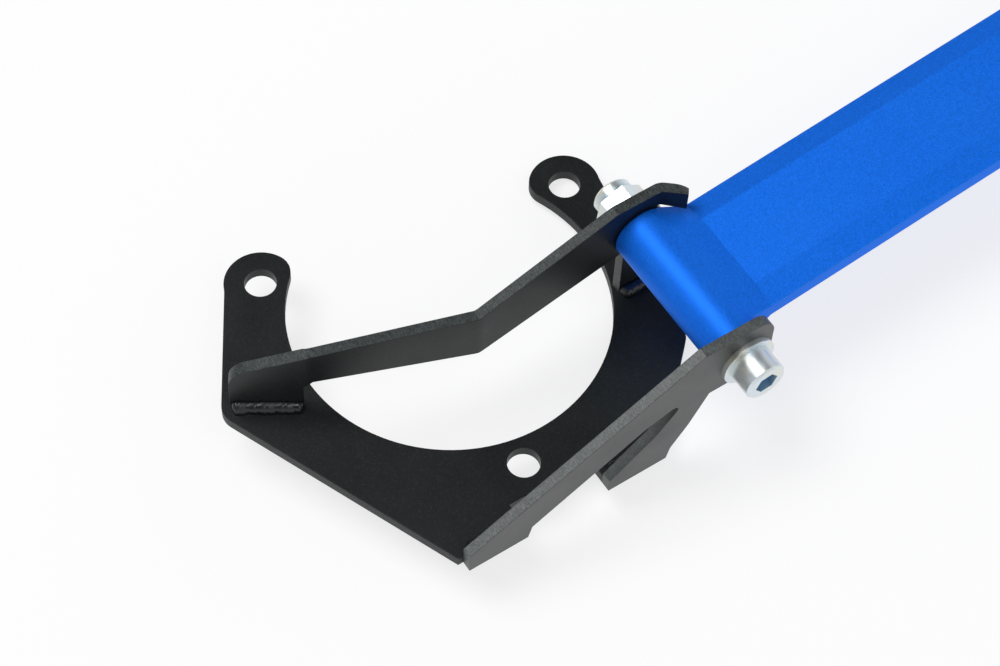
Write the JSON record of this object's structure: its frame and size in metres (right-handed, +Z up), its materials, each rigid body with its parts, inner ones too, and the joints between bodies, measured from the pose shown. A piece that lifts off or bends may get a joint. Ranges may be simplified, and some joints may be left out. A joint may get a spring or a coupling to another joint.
{
  "type": "strut tower brace",
  "caption": "Flat bevelled bar bolted between two welded end brackets, each with a horseshoe base plate that sits over a strut tower's studs and ties the two towers together.",
  "frame": {"origin": "centre of the left bracket's stud circle, on the mounting face of its base plate", "axes": "+X along the bar to the right bracket, +Y from the bolt heads to the lock nuts, +Z up with the bar level"},
  "size_m": [1.1961, 0.1636, 0.0626],
  "materials": {
    "blue_coat": "satin metallic blue powder coat on aluminium",
    "black_coat": "fine textured satin black powder coat on steel",
    "zinc_plate": "bright zinc plate",
    "nylon": "natural nylon"
  },
  "bodies": {
    "bar": {"bar": "blue_coat", "left_cross_tube": "blue_coat", "left_bar_weld": "blue_coat", "left_pivot_bolt": "zinc_plate", "left_head_washer": "zinc_plate", "left_nut_washer": "zinc_plate", "left_lock_nut": "zinc_plate", "left_nut_insert": "nylon", "right_cross_tube": "blue_coat", "right_bar_weld": "blue_coat", "right_pivot_bolt": "zinc_plate", "right_head_washer": "zinc_plate", "right_nut_washer": "zinc_plate", "right_lock_nut": "zinc_plate", "right_nut_insert": "nylon"},
    "left_bracket": {"left_base_plate": "black_coat", "left_front_plate": "black_coat", "left_rear_arm": "black_coat", "left_front_foot_weld": "black_coat", "left_front_toe_weld": "black_coat", "left_heel_weld": "black_coat", "left_leg_weld": "black_coat"},
    "right_bracket": {"right_base_plate": "black_coat", "right_front_plate": "black_coat", "right_rear_arm": "black_coat", "right_front_foot_weld": "black_coat", "right_front_toe_weld": "black_coat", "right_heel_weld": "black_coat", "right_leg_weld": "black_coat"}
  },
  "joints": [
    {"name": "left_pivot", "type": "hinge", "parent": "bar", "child": "left_bracket", "pos_m": [0.06647, -0.05825, 0.03332], "axis": [0, 1, 0], "range_deg": [-70, 2]},
    {"name": "right_pivot", "type": "hinge", "parent": "bar", "child": "right_bracket", "pos_m": [0.94647, -0.05825, 0.03332], "axis": [0, -1, 0], "range_deg": [-70, 2]}
  ]
}
